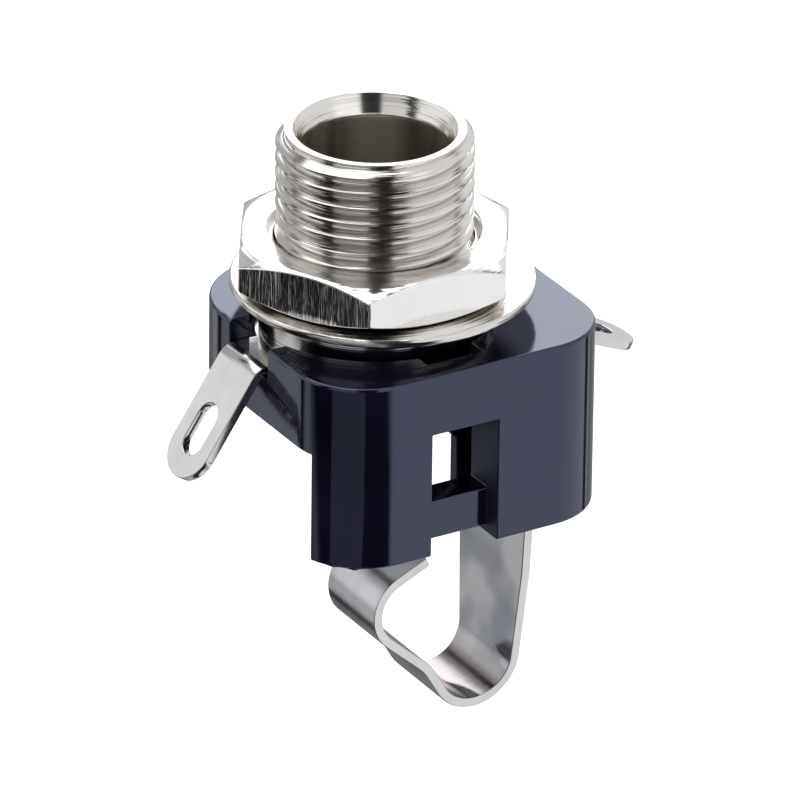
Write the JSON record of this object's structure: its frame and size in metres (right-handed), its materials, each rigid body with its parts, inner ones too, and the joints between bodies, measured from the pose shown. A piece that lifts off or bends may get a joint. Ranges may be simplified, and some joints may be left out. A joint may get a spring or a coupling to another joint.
{
  "type": "quarter inch phone jack",
  "caption": "Panel-mounting phone socket with a threaded metal bushing, nut and washer, a black moulded housing, solder tags and a looped tip spring.",
  "frame": {"origin": "on the bushing's axis, in the plane of the shoulder that the panel is clamped against", "axes": "+Z along the bushing's axis towards the mouth, -Y towards the windowed wall, +X towards the tip contact's tag"},
  "size_m": [0.0238, 0.0147, 0.0295],
  "materials": {
    "black_moulding": "glossy black moulding",
    "nickel_turning": "bright nickel plate on turned brass",
    "plated_strip": "satin nickel plate on spring strip"
  },
  "bodies": {
    "jack_body": {"housing": "black_moulding", "threaded_bushing": "nickel_turning", "sleeve_contact": "plated_strip", "tip_contact": "plated_strip"},
    "washer": {"washer": "nickel_turning"},
    "nut": {"hex_nut": "nickel_turning"},
    "tip_spring": {"tip_spring": "plated_strip"}
  },
  "joints": [
    {"name": "washer_lift", "type": "slide", "parent": "jack_body", "child": "washer", "axis": [0, 0, 1], "range_m": [0, 0.0045]},
    {"name": "nut_turn", "type": "hinge", "parent": "washer", "child": "nut", "pos_m": [0, 0, 0], "axis": [0, 0, 1], "range_deg": [0, 2161]},
    {"name": "tip_spring_flex", "type": "hinge", "parent": "jack_body", "child": "tip_spring", "pos_m": [0.00437, 0, -0.02139], "axis": [0, 1, 0], "range_deg": [0, 31], "stiffness_Nm_per_rad": 0.02}
  ],
  "couplings": [
    {"joint": "nut_turn", "follows": "washer_lift", "rad_per_m": 8377.6}
  ]
}
